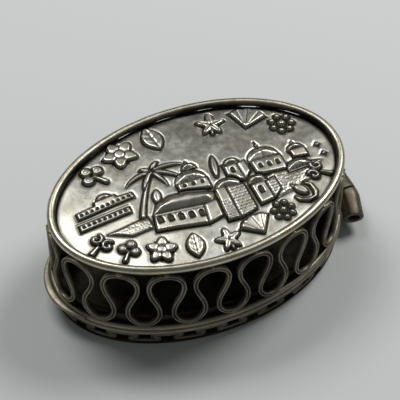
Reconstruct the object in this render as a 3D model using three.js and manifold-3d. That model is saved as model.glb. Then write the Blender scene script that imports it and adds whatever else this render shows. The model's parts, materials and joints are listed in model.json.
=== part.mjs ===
// An oval silver spice box: a hinged lid with an embossed plate and a wall of bent
// flat wire, on a shallow tray. Millimetres, +Z up. The box stands on Z = 0, its
// long axis lies along X, and the hinge is at the +X end.
import * as THREE from 'three';
import { mergeVertices } from 'three/addons/utils/BufferGeometryUtils.js';
import Module from 'manifold-3d';

const wasm = await Module();
wasm.setup();

// ---- Driving dimensions -------------------------------------------------------
// The reference oval is the outer edge of the lid's top rim.
const HALF_LENGTH = 24;
const HALF_WIDTH = 15.5;

const SPLIT_HEIGHT = 3.8;          // table to the joint between tray and lid
const LID_HEIGHT = 15.0;           // joint to the top of the rim
const SEAM_GAP = 0.05;             // each ring stands this far off the joint
const SOLDER_GAP = 0.08;           // left for solder between two fixed pieces

const RIM_WIRE = 1.3;              // round wire round the plate
const RING_WIRE = 1.0;             // round wires of the lid's and tray's meeting rings
const RING_PROUD = 0.45;           // meeting rings stand out past the reference oval

const PLATE_THICKNESS = 0.5;
const PLATE_RECESS = 1.0;          // top of the plate below the top of the rim
const PLATE_GROOVE = 0.15;         // between the rim wire and the plate's edge
const BEZEL_WIDTH = 1.4;
const BEZEL_THICKNESS = 0.6;

const WAVES = 18;                  // of bent wire round the box
const LID_WIRE_FACE = 0.7;         // width of the wire as seen from outside
const LID_WIRE_DEPTH = 1.0;        // depth of the wire through the wall
const LID_WIRE_PROUD = 0.35;
const LID_LOBE_RADIUS = 0.395;     // centre line of one round lobe, in wave lengths
const WAVE_START = -0.17;          // first upper lobe, in wave lengths from the free end

const BASE_WIRE_FACE = 0.5;
const BASE_WIRE_PROUD = 0.3;
const BASE_LOBE_RADIUS = 0.4;      // of half the gallery's height
const BASE_LOBE_FLAT = 0.575;      // straight run of each squashed lobe, in wave lengths
const BASE_SLANT = 0.3;            // how far the gallery leans in at its foot

const BASE_PLATE_THICKNESS = 0.5;

const COLLAR_THICKNESS = 0.5;
const COLLAR_RISE = 2.4;           // how far the tray's inner wall reaches into the lid
const COLLAR_CLEARANCE = 0.3;      // to the inside of the lid's wire

const LIP_HALF_SPAN = 6.3;         // half width of the thumb lip along the wall
const LIP_REACH = 1.1;
const LIP_END = 0.25;
const LIP_THICKNESS = 0.85;

const KNUCKLE_RADIUS = 1.68;
const BORE_RADIUS = 1.05;
const KNUCKLE_LENGTH = 4.6;        // of each of the two outer knuckles
const CENTRE_KNUCKLE_LENGTH = 2.8;
const KNUCKLE_GAP = 0.25;          // end play between neighbouring knuckles
const PIN_RADIUS = 0.85;
const PIN_RECESS = 1.6;            // pin's ends inside the outer knuckles
const HINGE_STANDOFF = 0.1;        // knuckle to the meeting rings
const SADDLE_THICKNESS = 1.1;
const STRAP_THICKNESS = 0.7;
const STRAP_HEIGHT = 2.2;

const OVAL_STEPS = 72;
const WIRE_SIDES = 8;
const TUBE_SIDES = 24;
const LID_ARC_STEPS = 8;
const BASE_ARC_STEPS = 4;
const FLAT_STEP = 1.1;             // longest straight bit of wire along the wall

// ---- Sizes that follow from them ----------------------------------------------
const RIM_TOP = SPLIT_HEIGHT + LID_HEIGHT;
const PLATE_TOP = RIM_TOP - PLATE_RECESS;
const PLATE_OFFSET = -(RIM_WIRE + PLATE_GROOVE);
const LID_RING_TOP = SPLIT_HEIGHT + SEAM_GAP + RING_WIRE;
const BASE_RING_BOTTOM = SPLIT_HEIGHT - SEAM_GAP - RING_WIRE;
const RING_OFFSET = RING_PROUD - RING_WIRE / 2;
const LID_WIRE_INSIDE = LID_WIRE_PROUD - LID_WIRE_DEPTH;
const COLLAR_OUTSIDE = LID_WIRE_INSIDE - COLLAR_CLEARANCE;
const BASE_FOOT_OFFSET = BASE_WIRE_PROUD - BASE_SLANT;
const BASE_WIRE_DEPTH = BASE_FOOT_OFFSET - COLLAR_OUTSIDE - 2 * SOLDER_GAP;
const HINGE_X = HALF_LENGTH + RING_PROUD + HINGE_STANDOFF + KNUCKLE_RADIUS;
const OUTER_KNUCKLE_Y = CENTRE_KNUCKLE_LENGTH / 2 + KNUCKLE_GAP;
const HINGE_HALF_LENGTH = OUTER_KNUCKLE_Y + KNUCKLE_LENGTH;

// ---- Silver finishes -----------------------------------------------------------
const FINISHES = {
  bright: { color: 0xc9c7bd, roughness: 0.28 },
  wire: { color: 0x8f897c, roughness: 0.38 },
  dark: { color: 0x4b4741, roughness: 0.5 },
  tube: { color: 0x8a8176, roughness: 0.42 },
};

const box = new THREE.Group();

function addPiece(parent, name, geometry, finish) {
  const material = new THREE.MeshStandardMaterial({ ...FINISHES[finish], metalness: 1 });
  const mesh = new THREE.Mesh(geometry, material);
  mesh.name = name;
  parent.add(mesh);
  return mesh;
}

// ---- The oval -------------------------------------------------------------------
// Parameter t runs anticlockwise from the hinge end, so the free end is t = ±PI.
// A point is moved along the outward normal by `offset`.
function ovalPoint(t, offset) {
  const normal = new THREE.Vector2(HALF_WIDTH * Math.cos(t), HALF_LENGTH * Math.sin(t)).normalize();
  const x = HALF_LENGTH * Math.cos(t) + offset * normal.x;
  const y = HALF_WIDTH * Math.sin(t) + offset * normal.y;
  return new THREE.Vector2(x, y);
}

const ovalCurve = new THREE.EllipseCurve(0, 0, HALF_LENGTH, HALF_WIDTH, -Math.PI, Math.PI);
ovalCurve.arcLengthDivisions = 2000;
const PERIMETER = ovalCurve.getLength();
const WAVE_LENGTH = PERIMETER / WAVES;

// Parameter t at a distance along the oval, measured from the free end by the front.
function ovalParameter(distance) {
  const turns = distance / PERIMETER;
  const whole = Math.floor(turns);
  return ovalCurve.getUtoTmapping(turns - whole) * 2 * Math.PI - Math.PI;
}

// Moves every vertex of a geometry by a function of its position.
function reshape(geometry, move) {
  const bare = new THREE.BufferGeometry();
  bare.setAttribute('position', geometry.getAttribute('position').clone());
  if (geometry.index) bare.setIndex(geometry.index);
  const position = bare.getAttribute('position');
  const point = new THREE.Vector3();
  for (let i = 0; i < position.count; i += 1) {
    point.fromBufferAttribute(position, i);
    const moved = move(point);
    position.setXYZ(i, moved.x, moved.y, moved.z);
  }
  return mergeVertices(bare, 1e-4);
}

// A hoop of any section, given as [offset, z] points, turned round and then eased
// from its circle on to the oval.
function ovalHoop(section) {
  const mean = (HALF_LENGTH + HALF_WIDTH) / 2;
  const profile = [...section, section[0]].map(([offset, z]) => new THREE.Vector2(mean + offset, z));
  const turned = new THREE.LatheGeometry(profile, OVAL_STEPS);
  return reshape(turned, (p) => {
    const place = ovalPoint(Math.atan2(p.x, p.z), Math.hypot(p.x, p.z) - mean);
    return new THREE.Vector3(place.x, place.y, p.y);
  });
}

function wireHoop(offset, z, diameter) {
  const section = [];
  for (let i = 0; i < WIRE_SIDES; i += 1) {
    const angle = (i + 0.5) * 2 * Math.PI / WIRE_SIDES;
    section.push([offset + diameter / 2 * Math.cos(angle), z + diameter / 2 * Math.sin(angle)]);
  }
  return ovalHoop(section);
}

function stripHoop(inside, outside, bottom, top) {
  return ovalHoop([[inside, bottom], [outside, bottom], [outside, top], [inside, top]]);
}

function ovalPlate(offset, bottom, thickness) {
  const outline = [];
  for (let i = 0; i < OVAL_STEPS; i += 1) outline.push(ovalPoint(i * 2 * Math.PI / OVAL_STEPS, offset));
  const plate = new THREE.ExtrudeGeometry(new THREE.Shape(outline), { depth: thickness, bevelEnabled: false });
  return reshape(plate.translate(0, 0, bottom), (p) => p);
}

// ---- Meander of bent flat wire ---------------------------------------------------
// Points along one lobe, as [angle from its crown, place along its flat]. The strip's
// first and last lobes are halves.
function lobeStations(wave, turn, isFirst, isLast) {
  const half = wave.arcSteps / 2;
  const edge = wave.flat / 2;
  const from = isFirst ? 0 : -edge;
  const to = isLast ? 0 : edge;
  const runs = Math.ceil((to - from) / FLAT_STEP);
  const stations = [];
  if (!isFirst) {
    for (let i = 0; i < half; i += 1) stations.push([-turn * (1 - i / half), -edge]);
  }
  for (let i = 0; i <= runs; i += 1) stations.push([0, from + (to - from) * i / Math.max(runs, 1)]);
  if (!isLast) {
    for (let i = 1; i <= half; i += 1) stations.push([turn * i / half, edge]);
  }
  return stations;
}

// One edge of the wire. Each wave is an upper lobe and a lower lobe, joined by straight
// legs that touch both arcs; `side` is +1 or -1 for the two edges of the wire.
function meanderEdge(wave, side) {
  const { period, count, radius, flat, halfHeight, face } = wave;
  const drop = 2 * (halfHeight - radius);
  const across = period / 2 - flat;
  const turn = Math.atan2(drop, across) + Math.asin(2 * radius / Math.hypot(across, drop));
  const points = [];
  for (let lobe = 0; lobe <= 2 * count; lobe += 1) {
    const upper = lobe % 2 === 0 ? 1 : -1;
    const reach = radius + upper * side * face / 2;
    for (const [angle, run] of lobeStations(wave, turn, lobe === 0, lobe === 2 * count)) {
      const x = lobe * period / 2 + run + reach * Math.sin(angle);
      const y = upper * (halfHeight - radius + reach * Math.cos(angle));
      points.push(new THREE.Vector2(x, y));
    }
  }
  return points;
}

// The strip starts as a straight bar with one slice for each station, and each slice
// is moved to its place along the wave and round the oval. Its two ends stop half a gap
// short of the next strip.
function meanderStrip(wave, start, place) {
  const upperEdge = meanderEdge(wave, 1);
  const lowerEdge = meanderEdge(wave, -1);
  for (const edge of [upperEdge, lowerEdge]) {
    edge[0].x += SOLDER_GAP / 2;
    edge[edge.length - 1].x -= SOLDER_GAP / 2;
  }
  const slices = upperEdge.length - 1;
  const height = 2 * wave.halfHeight + wave.face;
  const bar = new THREE.BoxGeometry(slices, 1, 1, slices, 1, 1);
  return reshape(bar, (p) => {
    const edge = p.y > 0 ? upperEdge : lowerEdge;
    const { x, y } = edge[Math.round(p.x + slices / 2)];
    const lean = place.slant * (0.5 - y / height);
    const offset = place.outside - lean - (0.5 - p.z) * wave.depth;
    const oval = ovalPoint(ovalParameter(start + x), offset);
    return new THREE.Vector3(oval.x, oval.y, place.middle + y);
  });
}

function addMeander(parent, name, wave, place, finish) {
  const start = WAVE_START * wave.period;
  const length = wave.count * wave.period;
  addPiece(parent, `${name}_front`, meanderStrip(wave, start, place), finish);
  addPiece(parent, `${name}_back`, meanderStrip(wave, start + length, place), finish);
}

// ---- Joining and cutting ----------------------------------------------------------
function toSolid(geometry) {
  const bare = reshape(geometry, (p) => p);
  return new wasm.Manifold(new wasm.Mesh({
    numProp: 3,
    vertProperties: new Float32Array(bare.getAttribute('position').array),
    triVerts: new Uint32Array(bare.index.array),
  }));
}

function toGeometry(solid) {
  const mesh = solid.getMesh();
  const geometry = new THREE.BufferGeometry();
  geometry.setAttribute('position', new THREE.BufferAttribute(mesh.vertProperties, 3));
  geometry.setIndex(new THREE.BufferAttribute(mesh.triVerts, 1));
  return geometry;
}

// ---- Lid ----------------------------------------------------------------------------
function buildLid(parent) {
  const lid = new THREE.Group();
  parent.add(lid);
  const plateBottom = PLATE_TOP - PLATE_THICKNESS;
  const bezelTop = plateBottom - SOLDER_GAP;
  const bezelOutside = LID_WIRE_INSIDE - SOLDER_GAP;

  addPiece(lid, 'lid_plate', ovalPlate(PLATE_OFFSET, plateBottom, PLATE_THICKNESS), 'bright');
  addPiece(lid, 'lid_top_rim', wireHoop(-RIM_WIRE / 2, RIM_TOP - RIM_WIRE / 2, RIM_WIRE), 'bright');
  addPiece(lid, 'lid_bezel',
    stripHoop(bezelOutside - BEZEL_WIDTH, bezelOutside, bezelTop - BEZEL_THICKNESS, bezelTop), 'dark');
  addPiece(lid, 'lid_lower_ring',
    wireHoop(RING_OFFSET, SPLIT_HEIGHT + SEAM_GAP + RING_WIRE / 2, RING_WIRE), 'wire');

  const bottom = LID_RING_TOP + SOLDER_GAP;
  const top = RIM_TOP - RIM_WIRE - SOLDER_GAP;
  const wave = {
    period: WAVE_LENGTH,
    count: WAVES / 2,
    radius: LID_LOBE_RADIUS * WAVE_LENGTH,
    flat: 0,
    halfHeight: (top - bottom - LID_WIRE_FACE) / 2,
    face: LID_WIRE_FACE,
    arcSteps: LID_ARC_STEPS,
    depth: LID_WIRE_DEPTH,
  };
  const place = { outside: LID_WIRE_PROUD, middle: (top + bottom) / 2, slant: 0 };
  addMeander(lid, 'lid_meander', wave, place, 'wire');
  addPiece(lid, 'lid_thumb_lip', thumbLip(), 'wire');
}

// A crescent against the lower ring at the free end.
function thumbLip() {
  const inner = RING_PROUD + SOLDER_GAP;
  const halfTurn = Math.asin(LIP_HALF_SPAN / HALF_WIDTH);
  const steps = 12;
  const wallEdge = [];
  const thumbEdge = [];
  for (let i = 0; i <= steps; i += 1) {
    const share = 2 * i / steps - 1;
    const t = Math.PI + share * halfTurn;
    wallEdge.push(ovalPoint(t, inner));
    thumbEdge.push(ovalPoint(t, inner + LIP_END + (LIP_REACH - LIP_END) * Math.cos(share * Math.PI / 2)));
  }
  const outline = new THREE.Shape([...thumbEdge, ...wallEdge.reverse()]);
  const lip = new THREE.ExtrudeGeometry(outline, { depth: LIP_THICKNESS, bevelEnabled: false });
  return reshape(lip.translate(0, 0, SPLIT_HEIGHT + SEAM_GAP), (p) => p);
}

// ---- Tray ---------------------------------------------------------------------------
function buildTray(parent) {
  const tray = new THREE.Group();
  parent.add(tray);
  addPiece(tray, 'base_plate', ovalPlate(BASE_FOOT_OFFSET, 0, BASE_PLATE_THICKNESS), 'wire');
  addPiece(tray, 'base_collar',
    stripHoop(COLLAR_OUTSIDE - COLLAR_THICKNESS, COLLAR_OUTSIDE,
      BASE_PLATE_THICKNESS + SOLDER_GAP, SPLIT_HEIGHT + COLLAR_RISE), 'dark');
  addPiece(tray, 'base_top_ring',
    wireHoop(RING_OFFSET, SPLIT_HEIGHT - SEAM_GAP - RING_WIRE / 2, RING_WIRE), 'wire');

  const bottom = BASE_PLATE_THICKNESS + SOLDER_GAP;
  const top = BASE_RING_BOTTOM - SOLDER_GAP;
  const halfHeight = (top - bottom - BASE_WIRE_FACE) / 2;
  const wave = {
    period: WAVE_LENGTH,
    count: WAVES / 2,
    radius: BASE_LOBE_RADIUS * halfHeight,
    flat: BASE_LOBE_FLAT * WAVE_LENGTH,
    halfHeight,
    face: BASE_WIRE_FACE,
    arcSteps: BASE_ARC_STEPS,
    depth: BASE_WIRE_DEPTH,
  };
  const place = { outside: BASE_WIRE_PROUD, middle: (top + bottom) / 2, slant: BASE_SLANT };
  addMeander(tray, 'base_meander', wave, place, 'wire');
}

// ---- Hinge --------------------------------------------------------------------------
// A cylinder along Y on the hinge line, from y = `from` to y = `to`.
function hingeCylinder(radius, from, to) {
  const cylinder = new THREE.CylinderGeometry(radius, radius, to - from, TUBE_SIDES);
  return cylinder.translate(HINGE_X, (from + to) / 2, SPLIT_HEIGHT);
}

function knuckle(from, to) {
  const bore = toSolid(hingeCylinder(BORE_RADIUS, from - 1, to + 1));
  return toGeometry(toSolid(hingeCylinder(KNUCKLE_RADIUS, from, to)).subtract(bore));
}

// A block that fills the wedge between the wall and the hinge line, cut hollow for
// the knuckle that is soldered into it.
function saddle(from, to, bottom, top, wallOffset) {
  const steps = 6;
  const outline = [];
  for (let i = 0; i <= steps; i += 1) {
    const y = from + (to - from) * i / steps;
    outline.push(ovalPoint(Math.asin(y / (HALF_WIDTH + wallOffset)), wallOffset));
  }
  outline.push(new THREE.Vector2(HINGE_X, to), new THREE.Vector2(HINGE_X, from));
  outline[0].y = from;
  outline[steps].y = to;
  const block = new THREE.ExtrudeGeometry(new THREE.Shape(outline.reverse()), {
    depth: top - bottom,
    bevelEnabled: false,
  });
  const seat = toSolid(hingeCylinder(KNUCKLE_RADIUS + SOLDER_GAP, from - 1, to + 1));
  return toGeometry(toSolid(block.translate(0, 0, bottom)).subtract(seat));
}

function buildHinge(parent) {
  const hinge = new THREE.Group();
  parent.add(hinge);
  const inner = OUTER_KNUCKLE_Y;
  const outer = HINGE_HALF_LENGTH;
  const wall = RING_PROUD + SOLDER_GAP;
  const saddleTop = SPLIT_HEIGHT - SEAM_GAP - 3 * SOLDER_GAP;
  const strapBottom = SPLIT_HEIGHT + SEAM_GAP + 3 * SOLDER_GAP;
  const halfCentre = CENTRE_KNUCKLE_LENGTH / 2;

  for (const [end, from, to] of [['front', -outer, -inner], ['rear', inner, outer]]) {
    addPiece(hinge, `hinge_knuckle_${end}`, knuckle(from, to), 'tube');
    addPiece(hinge, `hinge_saddle_${end}`,
      saddle(from, to, saddleTop - SADDLE_THICKNESS, saddleTop, wall), 'tube');
  }
  addPiece(hinge, 'lid_hinge_knuckle', knuckle(-halfCentre, halfCentre), 'tube');

  const strap = new THREE.BoxGeometry(STRAP_THICKNESS, CENTRE_KNUCKLE_LENGTH, STRAP_HEIGHT);
  strap.translate(HALF_LENGTH + wall + STRAP_THICKNESS / 2, 0, strapBottom + STRAP_HEIGHT / 2);
  const seat = toSolid(hingeCylinder(KNUCKLE_RADIUS + SOLDER_GAP, -halfCentre - 1, halfCentre + 1));
  addPiece(hinge, 'lid_hinge_strap', toGeometry(toSolid(strap).subtract(seat)), 'tube');
  addPiece(hinge, 'hinge_pin',
    hingeCylinder(PIN_RADIUS, -outer + PIN_RECESS, outer - PIN_RECESS), 'dark');
}

buildLid(box);
buildTray(box);
buildHinge(box);
box.updateMatrixWorld(true);

export default box;
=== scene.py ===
"""Looks of an oval silver spice box with a hinged lid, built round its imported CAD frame.

Lengths are metres, except in the plate's relief, which is drawn in millimetres. The box
stands on Z = 0, its long axis is X, the hinge is at +X and the front is at -Y.
"""
import json
import math

import bmesh
import bpy
import numpy as np
from bpy.props import FloatProperty, FloatVectorProperty, IntProperty, PointerProperty
from mathutils import Matrix, Vector


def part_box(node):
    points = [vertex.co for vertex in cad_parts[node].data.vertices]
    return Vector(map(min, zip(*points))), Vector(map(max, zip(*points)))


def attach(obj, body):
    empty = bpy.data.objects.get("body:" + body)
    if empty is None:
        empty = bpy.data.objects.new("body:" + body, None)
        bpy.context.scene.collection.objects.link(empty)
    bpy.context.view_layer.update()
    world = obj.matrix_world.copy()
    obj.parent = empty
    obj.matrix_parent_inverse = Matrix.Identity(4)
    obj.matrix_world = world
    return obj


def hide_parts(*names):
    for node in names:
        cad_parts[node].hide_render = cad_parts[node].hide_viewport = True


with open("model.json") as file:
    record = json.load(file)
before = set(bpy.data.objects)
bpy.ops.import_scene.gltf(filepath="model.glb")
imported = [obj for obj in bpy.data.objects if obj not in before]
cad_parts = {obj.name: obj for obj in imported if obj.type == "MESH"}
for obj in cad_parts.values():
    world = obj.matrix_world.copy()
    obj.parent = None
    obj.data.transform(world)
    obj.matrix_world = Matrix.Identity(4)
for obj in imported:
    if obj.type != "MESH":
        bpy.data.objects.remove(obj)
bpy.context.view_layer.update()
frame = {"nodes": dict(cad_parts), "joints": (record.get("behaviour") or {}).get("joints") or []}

bl_info = {
    "name": "Filigree Spice Box",
    "version": (1, 0, 0),
    "blender": (4, 5, 0),
    "location": "View3D > Sidebar > Spice Box",
    "description": "Builds the silver, wire and embossed plate of an oval spice box",
    "category": "Object",
}

MM = 0.001


# ---- Sizes read from the frame -------------------------------------------------------
def corners(node):
    low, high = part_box(node)
    return Vector(low), Vector(high)


# CAD wires have eight flat sides, so their boxes are short of the round wire by this.
EIGHT_SIDES = math.cos(math.pi / 8)
rim_low, rim_high = corners("lid_top_rim")
RIM_WIRE = (rim_high.z - rim_low.z) / EIGHT_SIDES
RIM_TOP = (rim_high.z + rim_low.z) / 2 + RIM_WIRE / 2
HALF_LENGTH = rim_high.x + RIM_WIRE / 2 * (1 - EIGHT_SIDES)
HALF_WIDTH = rim_high.y + RIM_WIRE / 2 * (1 - EIGHT_SIDES)
HINGE = Vector(frame["joints"][0]["pos_m"])

# Gauges of wire and sheet, and sizes of the stage.
LID_WIRE_FACE, LID_WIRE_DEPTH = 0.7 * MM, 1.0 * MM
TRAY_WIRE_FACE, TRAY_WIRE_DEPTH = 0.5 * MM, 0.75 * MM
COLLAR_THICKNESS, SEAT_WIDTH = 0.5 * MM, 1.4 * MM
TUBE_BORE = 1.05 * MM
PIN_SETBACK, SAW_SETBACK = 0.5 * MM, 1.6 * MM
FLOOR_SIZE = 3.0
LAMP_DISTANCE = 0.5


def front_offset(node):
    """How far a node's outer face stands outside the reference oval, at the front."""
    low, _ = corners(node)
    return -low.y - HALF_WIDTH


class SpiceBoxSizes(bpy.types.PropertyGroup):
    """Sizes that a maker of the box would choose."""

    relief: FloatProperty(
        name="Relief", description="Height of the embossed ornaments", default=0.55 * MM, unit="LENGTH"
    )
    dome: FloatProperty(
        name="Dome", description="Rise of the plate's middle over its edge", default=0.6 * MM, unit="LENGTH"
    )
    plate_cells: IntProperty(
        name="Plate cells", description="Mesh cells along the plate's length", default=350
    )
    wire_groove: FloatProperty(
        name="Wire groove", description="Depth of the groove in the wall's wire",
        default=0.36 * MM, unit="LENGTH"
    )
    hand_wobble: FloatProperty(
        name="Hand wobble", description="Unevenness left by hand work", default=0.06 * MM, unit="LENGTH"
    )
    solder: FloatProperty(
        name="Solder", description="Radius of a drop of solder", default=0.42 * MM, unit="LENGTH"
    )
    tube_bend: FloatProperty(
        name="Tube bend", description="How far the hinge's front tube is bent in",
        default=0.3, subtype="ANGLE"
    )
    bevel: FloatProperty(
        name="Edge softness", description="Rounding of sheet and tube edges", default=0.12 * MM, unit="LENGTH"
    )


class SpiceBoxColours(bpy.types.PropertyGroup):
    """Colours of silver in its several states."""

    bright: FloatVectorProperty(
        name="Bright silver", description="Polished silver", subtype="COLOR", default=(0.58, 0.57, 0.515)
    )
    rim: FloatVectorProperty(
        name="Rim", description="Silver rubbed bright by handling",
        subtype="COLOR", default=(0.62, 0.58, 0.47)
    )
    wire: FloatVectorProperty(
        name="Wire", description="Handled silver wire", subtype="COLOR", default=(0.38, 0.35, 0.28)
    )
    tube: FloatVectorProperty(
        name="Hinge tube", description="Brownish tube of the hinge",
        subtype="COLOR", default=(0.18, 0.155, 0.118)
    )
    # This dark colour is oxide, and also painted shade where its mask holds shade: the pits beside the plate's
    # relief, the plate's edge by the rim, and the inside pieces.
    tarnish_and_shade: FloatVectorProperty(
        name="Tarnish", description="Oxide left in the recesses",
        subtype="COLOR", default=(0.035, 0.032, 0.024)
    )
    floor: FloatVectorProperty(
        name="Floor", description="Pale ground", subtype="COLOR", default=(0.65, 0.665, 0.655)
    )


# ---- Node helpers --------------------------------------------------------------------
class Value:
    """A socket that can be used in sums."""

    def __init__(self, nodes, socket):
        self.nodes = nodes
        self.socket = socket

    def _math(self, operation, first, second=None, clamp=False):
        inputs = {0: first} if second is None else {0: first, 1: second}
        settings = {"operation": operation, "use_clamp": clamp}
        return self.nodes.add("ShaderNodeMath", settings, inputs)

    def __add__(self, other):
        return self._math("ADD", self, other)

    __radd__ = __add__

    def __mul__(self, other):
        return self._math("MULTIPLY", self, other)

    __rmul__ = __mul__

    def __sub__(self, other):
        return self._math("SUBTRACT", self, other)

    def __rsub__(self, other):
        return self._math("SUBTRACT", other, self)

    def __truediv__(self, other):
        return self._math("DIVIDE", self, other)

    def __pow__(self, other):
        return self._math("POWER", self, other)

    def clamped(self):
        return self._math("ADD", self, 0.0, clamp=True)

    def function(self, operation):
        return self._math(operation, self)

    def ramp(self, low, high):
        """Smooth step from 0 at `low` to 1 at `high`."""
        settings = {"interpolation_type": "SMOOTHSTEP"}
        inputs = {"Value": self, "From Min": low, "From Max": high}
        return self.nodes.add("ShaderNodeMapRange", settings, inputs)


class Nodes:
    """Adds nodes to one tree."""

    def __init__(self, tree):
        self.tree = tree

    def node(self, kind, settings=None, inputs=None):
        made = self.tree.nodes.new(kind)
        for name, value in (settings or {}).items():
            if name == "stops":
                self._set_stops(made, value)
            else:
                setattr(made, name, value)
        for key, value in (inputs or {}).items():
            if isinstance(value, Value):
                self.tree.links.new(value.socket, made.inputs[key])
            else:
                made.inputs[key].default_value = value
        return made

    def add(self, kind, settings=None, inputs=None, output=0):
        made = self.node(kind, settings, inputs)
        return Value(self, made.outputs[output])

    @staticmethod
    def _set_stops(made, stops):
        elements = made.color_ramp.elements
        while len(elements) < len(stops):
            elements.new(0.5)
        for element, (position, colour) in zip(elements, stops):
            element.position = position
            element.color = (*colour, 1)

    def mix_colour(self, factor, first, second):
        inputs = {"Factor": factor, "A": first, "B": second}
        made = self.tree.nodes.new("ShaderNodeMix")
        made.data_type = "RGBA"
        sockets = {"Factor": made.inputs[0], "A": made.inputs[6], "B": made.inputs[7]}
        for name, value in inputs.items():
            if isinstance(value, Value):
                self.tree.links.new(value.socket, sockets[name])
            else:
                sockets[name].default_value = value if name == "Factor" else (*value, 1)
        return Value(self, made.outputs[2])


# ---- Silver --------------------------------------------------------------------------
def silver(name, colour, tarnish_and_shade, roughness, recess, cover, patina, grain):
    """Antiqued silver. A dark colour lies where the attribute `recess` says, by `cover` over the whole surface and
    by `patina` in clouds and specks. It is oxide, and it is also painted shade where these masks are set for shade."""
    material = bpy.data.materials.new(name)
    material.use_nodes = True
    nodes = Nodes(material.node_tree)
    shader = material.node_tree.nodes["Principled BSDF"]
    where = nodes.add("ShaderNodeTexCoord", output="Object")

    def noise(scale, detail=4.0, roughness=0.55):
        inputs = {"Vector": where, "Scale": scale, "Detail": detail, "Roughness": roughness}
        return nodes.add("ShaderNodeTexNoise", inputs=inputs)

    clouds = noise(170.0).ramp(0.38, 0.68)
    specks = noise(1500.0, 3.0).ramp(0.55, 0.75)
    cover = clouds * patina + specks * (patina * 0.6) + cover
    if recess:
        kept = nodes.add("ShaderNodeAttribute", {"attribute_name": recess}, output="Fac")
        cover = cover + kept
    cover = cover.clamped()
    warm = tuple(channel * shift for channel, shift in zip(colour, (0.9, 0.86, 0.78)))
    tint = nodes.mix_colour(noise(420.0).ramp(0.35, 0.7), colour, warm)
    base = nodes.mix_colour(cover, tint, tarnish_and_shade)
    rough = roughness + cover * 0.22 + noise(900.0).ramp(0.3, 0.8) * 0.1
    scratches = nodes.add(
        "ShaderNodeMapping", inputs={"Vector": where, "Rotation": (0.3, 0.2, 0.6), "Scale": (1.0, 0.09, 1.0)}
    )
    lines = nodes.add("ShaderNodeTexNoise", inputs={"Vector": scratches, "Scale": 5200.0, "Detail": 2.0})
    height = noise(2600.0, 5.0) * 0.6 + lines.ramp(0.55, 0.7) * 0.12 + noise(520.0) * 0.9
    bump = nodes.add("ShaderNodeBump", inputs={"Height": height, "Strength": 0.35, "Distance": grain})
    tree = material.node_tree
    tree.links.new(base.socket, shader.inputs["Base Color"])
    tree.links.new(rough.socket, shader.inputs["Roughness"])
    tree.links.new(bump.socket, shader.inputs["Normal"])
    shader.inputs["Metallic"].default_value = 1.0
    return material


def finishes():
    """The box's materials, made once."""
    colours = bpy.context.scene.spice_box_colours
    recipes = {
        "plate_face": (colours.bright, 0.24, "recess", 0.08, 0.06, 0.03 * MM),
        "rubbed_rim": (colours.rim, 0.26, "recess", 0.0, 0.3, 0.05 * MM),
        "handled_wire": (colours.wire, 0.44, "recess", 0.0, 0.35, 0.05 * MM),
        "brown_tube": (colours.tube, 0.42, None, 0.1, 0.45, 0.07 * MM),
        # Painted shade: the inside pieces are laid dark over most of their surface, oxide made near black for the
        # dim inside of the box.
        "oxide_and_shade_inside": (colours.wire, 0.55, None, 0.85, 0.2, 0.05 * MM),
        "solder": (colours.wire, 0.3, None, 0.0, 0.4, 0.08 * MM),
    }
    made = {}
    for name, (colour, *rest) in recipes.items():
        ready = bpy.data.materials.get(name)
        made[name] = ready or silver(name, tuple(colour), tuple(colours.tarnish_and_shade), *rest)
    return made


# ---- Mesh helpers --------------------------------------------------------------------
def new_piece(name, vertices, faces, material, smooth=True):
    mesh = bpy.data.meshes.new(name)
    mesh.from_pydata([tuple(v) for v in vertices], [], faces)
    mesh.validate()
    return finish_piece(name, mesh, material, smooth)


def finish_piece(name, mesh, material, smooth=True):
    piece = bpy.data.objects.new(name, mesh)
    bpy.context.scene.collection.objects.link(piece)
    mesh.materials.clear()
    mesh.materials.append(material)
    mesh.polygons.foreach_set("use_smooth", [smooth] * len(mesh.polygons))
    mesh.update()
    return piece


def give(piece, body, slot, *nodes):
    """Says which body a piece moves with and hides the CAD nodes it stands for. The slot, its finish, is not used.
    """
    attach(piece, body)
    if nodes:
        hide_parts(*nodes)
    return piece


def set_attribute(mesh, name, values):
    layer = mesh.attributes.new(name, "FLOAT", "POINT")
    layer.data.foreach_set("value", np.asarray(values, dtype=np.float32).ravel())


def oval_points(angles, offset):
    """Points on the reference oval moved out by `offset` along its normals."""
    normal = np.stack([HALF_WIDTH * np.cos(angles), HALF_LENGTH * np.sin(angles)], -1)
    normal /= np.linalg.norm(normal, axis=-1, keepdims=True)
    place = np.stack([HALF_LENGTH * np.cos(angles), HALF_WIDTH * np.sin(angles)], -1)
    return place + normal * np.asarray(offset)[..., None]


def rounded_box_section(inside, outside, bottom, top, radius, steps=3):
    """[offset, z] points of a rectangle with rounded corners, anticlockwise."""
    points = []
    turns = ((outside, bottom, -90), (outside, top, 0), (inside, top, 90), (inside, bottom, 180))
    for x, z, start in turns:
        centre_x = x - math.copysign(radius, x - (inside + outside) / 2)
        centre_z = z - math.copysign(radius, z - (bottom + top) / 2)
        for step in range(steps + 1):
            angle = math.radians(start + 90 * step / steps)
            points.append((centre_x + radius * math.cos(angle), centre_z + radius * math.sin(angle)))
    return np.array(points)


def sweep_oval(name, section, material, steps=240, wobble=0.0):
    """A hoop of any closed [offset, z] section round the oval."""
    angles = np.arange(steps) * 2 * math.pi / steps
    count = len(section)
    drift = wobble * (np.sin(5 * angles + 1.0) + 0.6 * np.sin(11 * angles + 2.0) + 0.5 * np.sin(23 * angles))
    rings = []
    for offset, z in section:
        plan = oval_points(angles, offset + drift * 0.5)
        rings.append(np.column_stack([plan, z + drift * 0.4]))
    vertices = np.stack(rings, 1).reshape(-1, 3)
    faces = []
    for i in range(steps):
        for j in range(count):
            after, across = (i + 1) % steps * count, (j + 1) % count
            faces.append((i * count + j, after + j, after + across, i * count + across))
    return new_piece(name, vertices, faces, material)


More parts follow.
